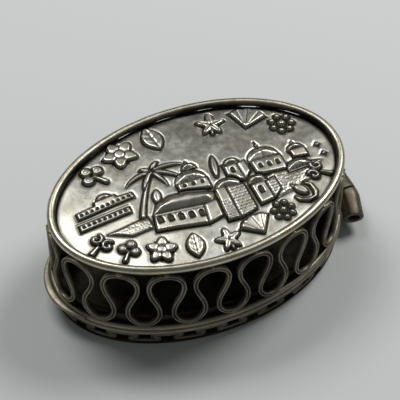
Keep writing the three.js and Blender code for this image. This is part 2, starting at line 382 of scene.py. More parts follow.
# ---- Embossed plate ------------------------------------------------------------------
# The relief is drawn in millimetres on the plate: x towards the hinge, y away from the
# front. Every stamp adds height, and `ink` gathers the oxide left along its outline.
class Relief:
    def __init__(self, x, y):
        self.x = x
        self.y = y
        self.height = np.zeros_like(x)
        self.ink = np.zeros_like(x)

    def press(self, distance, height, edge=0.22, line=0.15, ink=1.0):
        """Raises the inside of a shape, given its signed distance, over whatever lies
        there, and inks its outline."""
        inside = step_up(-distance, -0.06, 0.06)
        self.height += (height * step_up(-distance, -0.06, edge) - self.height) * inside
        self.ink *= 1 - inside
        rim = ink * np.exp(-(((distance - 0.05) / line) ** 2))
        self.height -= 0.14 * rim
        self.ink = np.maximum(self.ink, rim)

    def groove(self, distance, width=0.1, depth=0.12, ink=0.9):
        """Chases a line whose centre is at zero distance."""
        line = np.exp(-((distance / width) ** 2))
        self.height -= depth * line
        self.ink = np.maximum(self.ink, ink * line)

    def bricks(self, area, row=0.55, column=0.8, ink=0.7):
        """Courses of brick wherever `area` is negative."""
        course = np.floor(self.y / row)
        joints = np.minimum(
            np.abs((self.y / row) % 1 - 0.5) * row,
            np.abs((self.x / column + course * 0.5) % 1 - 0.5) * column
        )
        self.groove(np.where(area < -0.12, joints, 9), 0.07, 0.1, ink)

    def dimples(self, area, seed, pitch=0.6):
        """Punched marks, loosely spaced, wherever `area` is negative."""
        jitter = np.random.default_rng(seed).uniform(-0.3, 0.3, (64, 64, 2))
        column, row = np.floor(self.x / pitch).astype(int), np.floor(self.y / pitch).astype(int)
        shift = jitter[column % 64, row % 64]
        u = self.x / pitch - column - 0.5 - shift[..., 0]
        v = self.y / pitch - row - 0.5 - shift[..., 1]
        mark = step_up(0.3 - np.hypot(u, v), 0, 0.2) * (area < -0.15)
        self.height -= 0.15 * mark
        self.ink = np.maximum(self.ink, 0.6 * mark)


def step_up(value, low, high):
    share = np.clip((value - low) / (high - low), 0, 1)
    return share * share * (3 - 2 * share)


def to_segment(x, y, start, end):
    """Distance to a segment, and how far along it the nearest point lies."""
    run, rise = end[0] - start[0], end[1] - start[1]
    share = np.clip(((x - start[0]) * run + (y - start[1]) * rise) / (run * run + rise * rise), 0, 1)
    return np.hypot(x - start[0] - share * run, y - start[1] - share * rise), share


def to_line(x, y, points, widths):
    """Signed distance to a stroke whose half width changes along its points."""
    best = np.full_like(x, 1e3)
    for (start, end), (wide, narrow) in zip(zip(points, points[1:]), zip(widths, widths[1:])):
        distance, share = to_segment(x, y, start, end)
        best = np.minimum(best, distance - (wide + (narrow - wide) * share))
    return best


def to_polygon(x, y, points):
    """Signed distance to a polygon, negative inside."""
    nearest = np.full_like(x, 1e3)
    inside = np.zeros(x.shape, dtype=bool)
    for (x0, y0), (x1, y1) in zip(points, points[1:] + points[:1]):
        distance, _ = to_segment(x, y, (x0, y0), (x1, y1))
        nearest = np.minimum(nearest, distance)
        if y0 != y1:
            crosses = (y0 > y) != (y1 > y)
            inside ^= crosses & (x < (x1 - x0) * (y - y0) / (y1 - y0) + x0)
    return np.where(inside, -nearest, nearest)


def local(relief, centre, turn):
    """Coordinates about a centre, with v turned by `turn` radians from +y."""
    u, v = relief.x - centre[0], relief.y - centre[1]
    return u * math.cos(turn) + v * math.sin(turn), -u * math.sin(turn) + v * math.cos(turn)


def stamp_rosette(relief, centre, turn, size, height):
    u, v = local(relief, centre, turn)
    angle, reach = np.arctan2(u, v), np.hypot(u, v)
    petals = 5
    edge = size * (0.5 + 0.1 * np.cos(petals * angle))
    relief.press(reach - edge, height, edge=0.3)
    for petal in range(petals):
        spoke = math.pi / petals + petal * 2 * math.pi / petals
        end = (0.46 * size * math.sin(spoke), 0.46 * size * math.cos(spoke))
        start = (0.2 * size * math.sin(spoke), 0.2 * size * math.cos(spoke))
        relief.groove(to_segment(u, v, start, end)[0], 0.12, 0.18)
    relief.groove(reach - 0.17 * size, 0.1, 0.16)


def stamp_leaf(relief, centre, turn, size, height):
    u, v = local(relief, centre, turn)
    bulge = 0.34 * size * np.cos(np.clip(v / (0.56 * size), -1, 1) * math.pi / 2) ** 0.8
    outside = np.abs(v) - 0.54 * size
    relief.press(np.maximum(np.abs(u) - bulge, outside), height, edge=0.3)
    relief.groove(np.where(np.abs(v) < 0.44 * size, u, 9), 0.1, 0.2)
    for rib in (-0.26, 0.0, 0.24):
        slant = v - rib * size - 0.7 * np.abs(u)
        relief.groove(np.where(np.abs(u) < bulge * 0.8, slant, 9), 0.08, 0.1, 0.6)


def stamp_shell(relief, centre, turn, size, height):
    u, v = local(relief, centre, turn)
    v = v + 0.48 * size
    angle, reach = np.arctan2(u, v), np.hypot(u, v)
    scallop = size * (0.92 + 0.05 * np.abs(np.cos(angle * 7)))
    fan = np.maximum(reach - scallop, (np.abs(angle) - 0.78) * reach)
    relief.press(fan, height, edge=0.28)
    ribs = np.abs(((angle * 7 / math.pi + 0.5) % 1.0) - 0.5) * reach * math.pi / 7
    relief.groove(np.where((fan < -0.12) & (reach > 0.25 * size), ribs, 9), 0.09, 0.16)


def stamp_volutes(relief, centre, turn, size, height):
    """Two facing spirals on a short stem."""
    u, v = local(relief, centre, turn)
    for side in (-1, 1):
        points = []
        for step in range(15):
            angle = -math.pi / 2 + step * 0.42
            reach = size * (0.25 - 0.014 * step)
            across = side * (0.27 * size - reach * math.cos(angle))
            points.append((across, 0.14 * size - reach * math.sin(angle)))
        relief.press(to_line(u, v, points, [0.085 * size] * len(points)), height, edge=0.2)
    stem = [(0, -0.5 * size), (0, -0.1 * size)]
    relief.press(to_line(u, v, stem, [0.13 * size, 0.08 * size]), height, edge=0.2)


def stamp_bud(relief, centre, turn, size, height):
    """A closed flower between two curled leaves."""
    u, v = local(relief, centre, turn)
    drop = np.hypot(u / 0.62, v - 0.14 * size) - 0.33 * size
    tip = to_segment(u, v, (0, 0.3 * size), (0, 0.56 * size))[0] - 0.05 * size
    relief.press(np.minimum(drop, tip), height, edge=0.28)
    points = [
        (0, -0.5 * size), (0.26 * size, -0.36 * size), (0.44 * size, -0.06 * size), (0.4 * size, 0.16 * size)
    ]
    widths = [0.08 * size, 0.11 * size, 0.09 * size, 0.05 * size]
    relief.press(to_line(np.abs(u), v, points, widths), height * 0.9, edge=0.2)
    relief.groove(np.where(np.abs(v - 0.14 * size) < 0.24 * size, u, 9), 0.09, 0.14, 0.7)


def stamp_pearls(relief, centre, turn, size, height):
    """A large pearl with small pearls about it."""
    u, v = local(relief, centre, turn)
    for pearl in range(7):
        angle = pearl * 2 * math.pi / 7
        x, y = 0.36 * size * math.sin(angle), 0.36 * size * math.cos(angle)
        relief.press(np.hypot(u - x, v - y) - 0.135 * size, height, edge=0.35)
    relief.press(np.hypot(u, v) - 0.17 * size, height * 1.1, edge=0.45)


def stamp_trefoil(relief, centre, turn, size, height):
    """Three round leaves on a stem."""
    u, v = local(relief, centre, turn)
    relief.press(to_line(u, v, [(0, -0.5 * size), (0, 0)], [0.1 * size, 0.06 * size]), height)
    for x, y in ((-0.24, 0.0), (0.24, 0.0), (0.0, 0.26)):
        reach = np.hypot(u - x * size, v - y * size)
        relief.press(reach - 0.2 * size, height, edge=0.35)
        relief.groove(reach - 0.07 * size, 0.08, 0.12, 0.7)


def stamp_vine_leaf(relief, centre, turn, size, height):
    """A broad leaf with five points and its veins."""
    u, v = local(relief, centre, turn)
    v = v + 0.12 * size
    angle, reach = np.arctan2(u, v), np.hypot(u, v)
    edge = size * (0.42 + 0.13 * np.cos(5 * angle) - 0.06 * np.abs(angle) / math.pi)
    relief.press(to_line(u, v, [(0, -0.42 * size), (0, 0)], [0.07 * size] * 2), height)
    relief.press(reach - edge, height, edge=0.35)
    for vein in (-144, -72, 0, 72, 144):
        way = math.radians(vein)
        end = (0.4 * size * math.sin(way), 0.4 * size * math.cos(way))
        relief.groove(to_segment(u, v, (0, 0), end)[0], 0.08, 0.14, 0.8)


# ---- The little town: walls, roofs and domes seen from a hill ------------------------
def raise_wall(relief, points, height, windows=(), brick=False):
    """A flat wall with round-headed windows at the given places."""
    wall = to_polygon(relief.x, relief.y, list(points))
    relief.press(wall, height, edge=0.14)
    if brick:
        relief.bricks(wall)
    for x, y, half_width, tall in windows:
        u, v = relief.x - x, relief.y - y
        opening = np.maximum(np.abs(u) - half_width, np.abs(v) - tall / 2)
        opening = np.minimum(opening, np.hypot(u, v - tall / 2) - half_width)
        relief.height -= 0.22 * step_up(-opening, -0.04, 0.1)
        relief.ink = np.maximum(relief.ink, 0.95 * step_up(-opening, -0.16, -0.02))


def raise_dome(relief, centre, radius, height, tall=0.85, finial=0.0, ribs=0, bricks=False):
    """A dome on a band, with an optional finial."""
    u, v = relief.x - centre[0], relief.y - centre[1]
    bowl = np.maximum(np.hypot(u, v / tall) - radius, -v - 0.1 * radius)
    if finial:
        top = tall * radius
        spike = to_line(u, v, [(0, top * 0.9), (0, top + finial)], [0.16, 0.05])
        relief.press(spike, height * 0.8, edge=0.15)
        relief.press(np.hypot(u, v - top - finial * 0.4) - 0.22, height * 0.9, edge=0.2)
    relief.press(bowl, height * 1.15, edge=radius * 0.7)
    for rib in range(ribs):
        across = radius * math.sin(math.pi * ((rib + 1) / (ribs + 1) - 0.5))
        curve = u - across * np.sqrt(np.clip(1 - (v / (tall * radius)) ** 2, 0, 1))
        relief.groove(np.where(bowl < -0.15, curve, 9), 0.07, 0.09, 0.5)
    if bricks:
        relief.dimples(bowl, 5, 0.5)
    band = np.maximum(np.abs(u) - radius * 1.04, np.abs(v + 0.16 * radius) - 0.16)
    relief.press(band, height, edge=0.14)


def raise_cypress(relief, foot, tip, half_width, height):
    """A tree or spire like a flame, cut down its middle."""
    distance, share = to_segment(relief.x, relief.y, foot, tip)
    flame = half_width * np.sin((0.12 + 0.88 * share) * math.pi) ** 0.6
    relief.press(distance - flame, height, edge=0.25)
    relief.groove(distance + np.where(share < 0.8, 0, 9), 0.07, 0.1, 0.5)


def raise_palm(relief, foot, crown, height):
    bend = (foot[0] * 0.45 + crown[0] * 0.55 - 0.9, (foot[1] + crown[1]) / 2)
    trunk = [(1 - t) ** 2 * np.array(foot) + 2 * t * (1 - t) * np.array(bend) + t * t * np.array(crown)
             for t in np.linspace(0, 1, 9)]
    x, y = relief.x, relief.y
    relief.press(to_line(x, y, trunk, list(np.linspace(0.48, 0.24, 9))), height, edge=0.2)
    for heading, reach in ((168, 4.6), (128, 2.7), (60, 3.4), (18, 5.6), (-18, 4.4), (-60, 2.6), (212, 3.0)):
        way = math.radians(heading)
        frond = []
        for t in np.linspace(0, 1, 7):
            droop = -0.42 * reach * t * t
            frond.append((crown[0] + reach * t * math.cos(way), crown[1] + reach * t * math.sin(way) + droop))
        relief.press(to_line(x, y, frond, [0.2, 0.34, 0.42, 0.42, 0.36, 0.26, 0.1]), height * 0.75, edge=0.18)
        relief.groove(to_line(x, y, frond, [0.0] * 7), 0.07, 0.1, 0.5)


def row_of_windows(start, end, count, half_width, tall):
    """Windows at even places along a line."""
    shares = (np.arange(count) + 0.5) / count
    run, rise = end[0] - start[0], end[1] - start[1]
    return [(start[0] + run * t, start[1] + rise * t, half_width, tall) for t in shares]


def draw_left_bank(relief, height):
    """Two terraces, a path and the palm."""
    raise_dome(relief, (-14.2, 3.2), 1.3, height * 0.7)
    upper = [
        (-19.3, 1.0), (-9.8, 1.5), (-9.9, 2.7), (-12.3, 2.8), (-12.4, 3.4), (-16.0, 3.3), (-16.1, 2.6), (-19.2, 2.3)
    ]
    raise_wall(relief, upper, height * 0.6, row_of_windows((-18.9, 1.6), (-10.2, 2.0), 10, 0.2, 0.3))
    lower = [(-19.8, -1.3), (-11.4, -1.0), (-11.3, 0.2), (-19.7, 0.1)]
    raise_wall(relief, lower, height * 0.55, row_of_windows((-19.4, -0.6), (-11.7, -0.4), 9, 0.2, 0.3))
    relief.groove(to_segment(relief.x, relief.y, (-19.8, 0.55), (-11.2, 0.75))[0], 0.09, 0.1)
    path = [(-16.4, -3.2), (-9.6, -2.7), (-9.5, -5.0), (-13.0, -5.2)]
    relief.press(to_polygon(relief.x, relief.y, path), height * 0.45, edge=0.25, ink=0.8)
    relief.dimples(to_polygon(relief.x, relief.y, path), 3, 0.45)
    raise_palm(relief, (-10.3, -2.6), (-5.6, 5.0), height * 0.95)


def draw_right_hill(relief, height):
    """Two great domes, their houses and the slope under them."""
    slope = [(9.6, -3.2), (13.4, -1.6), (19.6, -3.2), (17.6, -5.6), (13.2, -6.9), (9.4, -7.6)]
    relief.press(to_polygon(relief.x, relief.y, slope), height * 0.4, edge=0.5, ink=0.6)
    relief.dimples(to_polygon(relief.x, relief.y, slope), 11, 0.5)
    raise_dome(relief, (11.4, 0.6), 2.5, height, finial=1.3, ribs=3)
    raise_wall(relief, [(8.9, -2.6), (14.0, -3.2), (14.0, 0.0), (8.9, 0.4)], height,
               windows=((10.1, -1.2, 0.26, 0.7), (11.5, -1.4, 0.26, 0.7), (12.9, -1.5, 0.26, 0.7)))
    raise_dome(relief, (16.8, 0.2), 1.35, height * 0.9, finial=0.5)
    raise_wall(relief, [(15.6, -1.6), (18.2, -1.9), (18.2, 0.0), (15.5, 0.1)], height * 0.85)
    raise_dome(relief, (15.8, -3.4), 2.1, height * 1.1, bricks=True)
    for x, y in ((20.3, -0.3), (20.5, -2.3)):
        diamond = np.abs(relief.x - x) + np.abs(relief.y - y) - 0.5
        relief.press(diamond * 0.7, height * 0.6, edge=0.2)


def draw_town_middle(relief, height):
    """Houses between the palm and the hill, then the hall and the great gate before them."""
    raise_dome(relief, (-0.1, 3.3), 1.15, height * 0.8, finial=0.5)
    raise_dome(relief, (-0.8, 0.9), 2.45, height, ribs=0, bricks=True)
    raise_wall(relief, [(-3.4, -1.0), (1.6, -1.8), (1.7, 0.5), (-3.3, 1.0)], height * 0.9,
               windows=((-2.2, 0.0, 0.22, 0.5), (-0.8, -0.1, 0.22, 0.5), (0.6, -0.3, 0.22, 0.5)))
    raise_cypress(relief, (3.1, 0.0), (4.2, 4.2), 0.6, height * 0.8)
    raise_cypress(relief, (-7.2, -0.9), (-6.4, 1.5), 0.7, height * 0.7)
    raise_wall(relief, [(6.9, -2.6), (8.4, -1.2), (8.4, 1.3), (6.9, 1.2)], height * 0.75)
    raise_wall(relief, [(4.5, -2.0), (6.9, -2.6), (6.9, 1.2), (4.7, 1.8)], height,
               windows=((5.8, -0.3, 0.3, 0.7),))
    raise_dome(relief, (6.3, 1.5), 1.2, height * 0.8)
    raise_wall(relief, [(9.4, -7.6), (11.2, -6.2), (11.2, -3.6), (9.4, -3.8)], height * 0.8, brick=True)
    raise_wall(relief, [(6.9, -7.9), (9.4, -7.6), (9.4, -3.8), (6.9, -3.7)], height,
               windows=((8.1, -5.5, 0.38, 1.0),))
    raise_dome(relief, (8.4, -3.4), 1.5, height * 0.95)
    roof = [
        (-8.7, -2.8), (-7.6, -1.2), (-5.2, -0.4), (-2.4, -0.7), (0.3, -1.6), (1.6, -2.6), (0.8, -4.3), (-3.9, -3.6)
    ]
    relief.press(to_polygon(relief.x, relief.y, roof), height * 1.1, edge=1.3)
    front = [(-9.6, -6.0), (-1.7, -7.9), (-1.0, -4.2), (-8.8, -2.9)]
    windows = [(-8.2 + 1.55 * i, -4.5 - 0.36 * i, 0.42, 0.9) for i in range(5)]
    raise_wall(relief, front, height, windows=windows)
    relief.groove(to_segment(relief.x, relief.y, (-8.9, -3.5), (-1.2, -4.8))[0], 0.09, 0.12)
    raise_wall(relief, [(-1.7, -7.9), (0.9, -7.4), (1.2, -4.0), (-1.0, -4.2)], height * 0.75)
    raise_dome(relief, (3.9, -2.6), 2.1, height * 1.05)
    raise_wall(relief, [(3.1, -8.9), (6.2, -8.2), (6.3, -2.9), (3.3, -2.5)], height * 0.85, brick=True)
    raise_wall(relief, [(1.0, -8.7), (3.1, -8.9), (3.3, -2.5), (1.5, -2.3)], height * 1.15)
    block = to_polygon(relief.x, relief.y, [(1.2, -8.7), (2.9, -8.8), (3.1, -5.2), (1.3, -5.0)])
    relief.bricks(block, 0.5, 0.7)


def draw_border(relief, height):
    """Ornaments along both edges of the plate, each upright to its edge."""
    far = ((-14.0, 8.2, 4.9), (-8.6, 10.4, 4.9), (-2.7, 11.2, 4.9),
           (7.0, 10.6, 4.7), (12.6, 8.9, 4.7), (17.2, 5.8, 4.5))
    near = ((-18.2, -4.6, 3.9), (-14.6, -7.2, 3.9), (-10.2, -9.2, 4.0), (-5.3, -10.5, 4.1), (-0.3, -11.1, 4.1),
            (4.7, -10.9, 4.1), (9.6, -9.9, 4.0), (14.1, -8.0, 3.9), (18.0, -5.3, 3.9))
    order = (stamp_volutes, stamp_leaf, stamp_pearls, stamp_trefoil, stamp_vine_leaf, stamp_bud,
             stamp_rosette, stamp_shell)
    for index, (x, y, size) in enumerate(near + far):
        slope = math.atan2(y / (HALF_WIDTH / MM) ** 2, x / (HALF_LENGTH / MM) ** 2)
        turn = slope + math.pi / 2 if y < 0 else slope - math.pi / 2
        order[(index * 3) % len(order)](relief, (x, y), turn, size, height)


def blurred(field, cells):
    """Gaussian blur along both directions of a grid."""
    reach = np.arange(-3 * cells, 3 * cells + 1)
    kernel = np.exp(-0.5 * (reach / cells) ** 2)
    kernel /= kernel.sum()
    for axis in (0, 1):
        padded = np.pad(field, [(3 * cells, 3 * cells) if a == axis else (0, 0) for a in (0, 1)], mode="edge")
        field = np.apply_along_axis(lambda row: np.convolve(row, kernel, "valid"), axis, padded)
    return field


def grid_faces(columns, rows, flip):
    index = np.arange(columns * rows).reshape(rows, columns)
    quads = np.stack([index[:-1, :-1], index[:-1, 1:], index[1:, 1:], index[1:, :-1]], -1).reshape(-1, 4)
    return quads[:, ::-1] if flip else quads


def edge_loop(columns, rows):
    index = np.arange(columns * rows).reshape(rows, columns)
    return np.concatenate([index[0, :-1], index[:-1, -1], index[-1, :0:-1], index[:0:-1, 0]])


class SPICEBOX_OT_plate(bpy.types.Operator):
    """Embosses the lid's plate, with the same picture hollow on its inner side"""

    bl_idname = "spice_box.plate"
    bl_label = "Embossed plate"

    def execute(self, context):
        sizes = context.scene.spice_box_sizes
        low, high = corners("lid_plate")
        half_length, half_width = high.x / MM, high.y / MM
        columns = sizes.plate_cells // 2 * 2 + 1
        rows = int(columns * half_width / half_length) // 2 * 2 + 1
        across, along = np.meshgrid(np.linspace(-1, 1, columns), np.linspace(-1, 1, rows))
        x = half_length * across * np.sqrt(1 - along**2 / 2)
        y = half_width * along * np.sqrt(1 - across**2 / 2)
        relief = Relief(x, y)
        height = sizes.relief / MM
        draw_left_bank(relief, height)
        draw_right_hill(relief, height)
        draw_town_middle(relief, height)
        draw_border(relief, height)
        unevenness = 0.02 * (np.sin(x * 0.9 + 1.3 * np.sin(y * 0.7)) + np.sin(y * 1.3 - x * 0.4 + 2.0))
        share = (x / half_length) ** 2 + (y / half_width) ** 2
        surface = blurred(relief.height, 1) + unevenness + sizes.dome / MM * (0.4 - share)
        # Painted shade: `hollow` darkens the pits beside raised shapes, where shade falls.
        hollow = np.clip((blurred(relief.height, 4) - relief.height) * 5, 0, 1)
        # The last term is painted shade: a dark band round the plate's edge, for the shadowed groove by the rim.
        ink = relief.ink + hollow * 0.5 + blurred(relief.ink, 5) * 0.4 + 0.7 * step_up(share, 0.93, 1.0)
        ink = np.clip(ink, 0, 1)
        top = surface * MM + high.z
        coarse = blurred(surface, 3)[::2, ::2] * MM + low.z
        front = np.stack([x * MM, y * MM, top], -1).reshape(-1, 3)
        back = np.stack([x[::2, ::2] * MM, y[::2, ::2] * MM, coarse], -1).reshape(-1, 3)
        back_rows, back_columns = coarse.shape
        fine, rough = edge_loop(columns, rows), edge_loop(back_columns, back_rows) + len(front)
        faces = [tuple(f) for f in grid_faces(columns, rows, False)]
        faces += [tuple(f + len(front)) for f in grid_faces(back_columns, back_rows, True)]
        for i in range(len(rough)):
            a, b, c = (int(fine[(2 * i + k) % len(fine)]) for k in range(3))
            d, e = int(rough[i]), int(rough[(i + 1) % len(rough)])
            faces += [(b, a, d), (c, b, e), (b, d, e)]
        piece = new_piece("embossed_plate", np.concatenate([front, back]), faces, finishes()["plate_face"])
        # Painted shade: the plate's back, inside the lid, is 0.9 dark, oxide made near black for the dim inside.
        set_attribute(piece.data, "recess", np.concatenate([ink.ravel(), np.full(len(back), 0.9)]))
        give(piece, "lid", "bright_silver", "lid_plate")
        return {"FINISHED"}


# ---- Geometry Nodes ------------------------------------------------------------------
class Shaper:
    """A Geometry Nodes tree with named inputs, used once on one object."""

    def __init__(self, name, inputs):
        self.tree = bpy.data.node_groups.new(name, "GeometryNodeTree")
        face = self.tree.interface
        face.new_socket("Geometry", in_out="INPUT", socket_type="NodeSocketGeometry")
        self.values = inputs
        for label, value in inputs.items():
            kind = "NodeSocketInt" if isinstance(value, int) else "NodeSocketFloat"
            face.new_socket(label, in_out="INPUT", socket_type=kind)
        face.new_socket("Material", in_out="INPUT", socket_type="NodeSocketMaterial")
        face.new_socket("Geometry", in_out="OUTPUT", socket_type="NodeSocketGeometry")
        self.nodes = Nodes(self.tree)
        self.group = self.tree.nodes.new("NodeGroupInput")
        self.geometry = Value(self.nodes, self.group.outputs["Geometry"])

    def __getitem__(self, label):
        return Value(self.nodes, self.group.outputs[label])

    def add(self, kind, settings=None, inputs=None, output=0):
        return self.nodes.add(kind, settings, inputs, output)

    def vector(self, x, y, z):
        return self.add("ShaderNodeCombineXYZ", inputs={"X": x, "Y": y, "Z": z})

    def vector_math(self, operation, first, second=None, scale=None):
        node = self.nodes.node("ShaderNodeVectorMath", {"operation": operation})
        for key, value in ((0, first), (1, second), ("Scale", scale)):
            if isinstance(value, Value):
                self.tree.links.new(value.socket, node.inputs[key])
            elif value is not None:
                node.inputs[key].default_value = value
        return Value(self.nodes, node.outputs[0])

    def place(self):
        """The x, y and z of each point, as values."""
        split = self.nodes.node("ShaderNodeSeparateXYZ", inputs={0: self.add("GeometryNodeInputPosition")})
        return [Value(self.nodes, socket) for socket in split.outputs]

    def oval(self, length):
        """Point and outward normal at a length along the oval from its free end."""
        circle = self.add(
            "GeometryNodeCurvePrimitiveCircle", inputs={"Resolution": 720, "Radius": 1.0}, output=0
        )
        spin = (0.0, 0.0, math.pi)
        turned = self.add("GeometryNodeTransform", inputs={"Geometry": circle, "Rotation": spin})
        scale = self.vector(self["Half Length"], self["Half Width"], 1.0)
        ring = self.add("GeometryNodeTransform", inputs={"Geometry": turned, "Scale": scale})
        whole = self.add("GeometryNodeCurveLength", inputs={"Curve": ring})
        wrapped = self.nodes.add("ShaderNodeMath", {"operation": "WRAP"}, {0: length, 1: whole, 2: 0.0})
        sample = self.nodes.node("GeometryNodeSampleCurve", {"mode": "LENGTH", "use_all_curves": True})
        self.tree.links.new(ring.socket, sample.inputs["Curves"])
        self.tree.links.new(wrapped.socket, sample.inputs["Length"])
        tangent = Value(self.nodes, sample.outputs["Tangent"])
        normal = self.vector_math("CROSS_PRODUCT", tangent, (0.0, 0.0, 1.0))
        return Value(self.nodes, sample.outputs["Position"]), self.vector_math("NORMALIZE", normal)

    def keep(self, geometry, name, value):
        inputs = {"Geometry": geometry, "Name": name, "Value": value}
        return self.add("GeometryNodeStoreNamedAttribute", {"data_type": "FLOAT"}, inputs)

    def run(self, start, geometry, name, material):
        """Finishes the tree, runs it on the object `start` and returns a plain mesh object."""
        solid = self.add("GeometryNodeRealizeInstances", inputs={"Geometry": geometry})
        dressed = self.add(
            "GeometryNodeSetMaterial", inputs={"Geometry": solid, "Material": self["Material"]}
        )
        end = self.tree.nodes.new("NodeGroupOutput")
        self.tree.links.new(dressed.socket, end.inputs["Geometry"])
        modifier = start.modifiers.new(self.tree.name, "NODES")
        modifier.node_group = self.tree
        for item in self.tree.interface.items_tree:
            if item.in_out == "INPUT" and item.name in self.values:
                modifier[item.identifier] = self.values[item.name]
            elif item.in_out == "INPUT" and item.name == "Material":
                modifier[item.identifier] = material
        bpy.context.view_layer.update()
        evaluated = start.evaluated_get(bpy.context.evaluated_depsgraph_get())
        mesh = bpy.data.meshes.new_from_object(evaluated)
        mesh.name = name
        bpy.data.objects.remove(start)
        if not mesh.polygons:
            raise RuntimeError(f"{name} came out empty")
        return finish_piece(name, mesh, material)


def curve_object(name, points, cyclic=False):
    curve = bpy.data.curves.new(name, "CURVE")
    curve.dimensions = "3D"
    spline = curve.splines.new("POLY")
    spline.points.add(len(points) - 1)
    for point, place in zip(spline.points, points):
        point.co = (*place, 1.0)
    spline.use_cyclic_u = cyclic
    made = bpy.data.objects.new(name, curve)
    bpy.context.scene.collection.objects.link(made)
    return made


def oval_perimeter():
    angles = np.linspace(0, 2 * math.pi, 4001)
    plan = np.stack([HALF_LENGTH * np.cos(angles), HALF_WIDTH * np.sin(angles)], -1)
    return float(np.linalg.norm(np.diff(plan, axis=0), axis=1).sum())


def wave_line(headings, period, height):
    """One wave of wire from crown to crown. It follows its headings, one for each equal
    step, and is then fitted to its wave length and height."""
    steps = np.stack([np.cos(headings), np.sin(headings)])
    x, y = np.concatenate([np.zeros((2, 1)), np.cumsum(steps, axis=1)], axis=1)
    x *= period / x[-1]
    y = (y - y.min()) / (y.max() - y.min()) * height - height / 2
    return list(zip(x.tolist(), y.tolist(), [0.0] * len(x)))


def round_wave(swing, steps):
    """Headings of a loose wave: the wire's bend eases off all the way to the next lobe."""
    return -swing * np.sin(np.linspace(0, 2 * math.pi, steps))


def squashed_wave(flat, radius, period, height, steps):
    """Headings of a wave with flat crowns, tight bends and straight legs that lean over."""
    drop, across = height - 2 * radius, period / 2 - flat
    swing = math.atan2(drop, across) + math.asin(2 * radius / math.hypot(across, drop))
    leg = math.sqrt(across**2 + drop**2 - 4 * radius**2)
    bend = radius * swing
    lengths = np.cumsum([0, flat / 2, bend, leg, bend, flat, bend, leg, bend, flat / 2])
    turns = swing * np.array([0, 0, -1, -1, 0, 0, 1, 1, 0, 0])
    return np.interp((np.arange(steps) + 0.5) / steps * lengths[-1], lengths, turns)


def wire_wall(name, wave, wall, material):
    """Grooved flat wire: one wave is swept, repeated, and bent round the oval."""
    shaper = Shaper(name, {
        "Waves": wave["count"], "Period": wave["period"], "Start": wave["start"],
        "Half Length": HALF_LENGTH, "Half Width": HALF_WIDTH,
        "Face": wave["face"], "Depth": wave["depth"], "Groove": wave["groove"],
        "Outside": wall["outside"], "Middle": wall["middle"], "Height": wall["height"], "Lean": wall["lean"],
        "Wobble": bpy.context.scene.spice_box_sizes.hand_wobble,
    })
    section = shaper.add("GeometryNodeCurvePrimitiveCircle", inputs={"Resolution": 20, "Radius": 1.0})
    x, y, _ = shaper.place()
    # A rounded bar: the circle is squared off, then a channel is drawn along its outer face.
    side = shaper.add("ShaderNodeMath", {"operation": "SIGN"}, {0: y})
    body = side * (y.function("ABSOLUTE") ** 0.4) * 0.5
    channel = ((x * x) * -4.5).function("EXPONENT") * y.ramp(0.1, 0.5)
    sunk = channel * shaper["Groove"] - body * shaper["Depth"]
    shaped = shaper.vector(x * shaper["Face"] * -0.5, sunk, 0.0)
    profile = shaper.keep(section, "recess", channel * 0.9 + (0.0 - y).ramp(-0.5, 0.6) * 0.75)
    profile = shaper.add("GeometryNodeSetPosition", inputs={"Geometry": profile, "Position": shaped})
    line = shaper.add("GeometryNodeSetCurveNormal", {"mode": "Z_UP"}, {"Curve": shaper.geometry})
    bar = shaper.add("GeometryNodeCurveToMesh", inputs={"Curve": line, "Profile Curve": profile})
    steps = shaper.vector(shaper["Period"], 0.0, 0.0)
    starts = shaper.add(
        "GeometryNodeMeshLine", {"mode": "OFFSET"}, {"Count": shaper["Waves"], "Offset": steps}
    )
    waves = shaper.add("GeometryNodeInstanceOnPoints", inputs={"Points": starts, "Instance": bar})
    strip = shaper.add("GeometryNodeRealizeInstances", inputs={"Geometry": waves})
    strip = shaper.add("GeometryNodeMergeByDistance", inputs={"Geometry": strip, "Distance": 2e-6})
    x, y, z = shaper.place()
    point, normal = shaper.oval(x + shaper["Start"])
    lean = shaper["Lean"] * (0.5 - y / shaper["Height"])
    risen = shaper.vector(0.0, 0.0, shaper["Middle"] + y)
    around = shaper.vector_math("ADD", point, risen)
    noise = shaper.add("ShaderNodeTexNoise", inputs={"Vector": around, "Scale": 160.0})
    outward = shaper["Outside"] - shaper["Depth"] * 0.5 - lean + z + (noise - 0.5) * shaper["Wobble"] * 3.0
    moved = shaper.vector_math("ADD", around, shaper.vector_math("SCALE", normal, scale=outward))
    bent = shaper.add("GeometryNodeSetPosition", inputs={"Geometry": strip, "Position": moved})
    closed = shaper.add("GeometryNodeMergeByDistance", inputs={"Geometry": bent, "Distance": 4e-6})
    start = curve_object(name + "_wave", wave["line"])
    return shaper.run(start, closed, name, material)


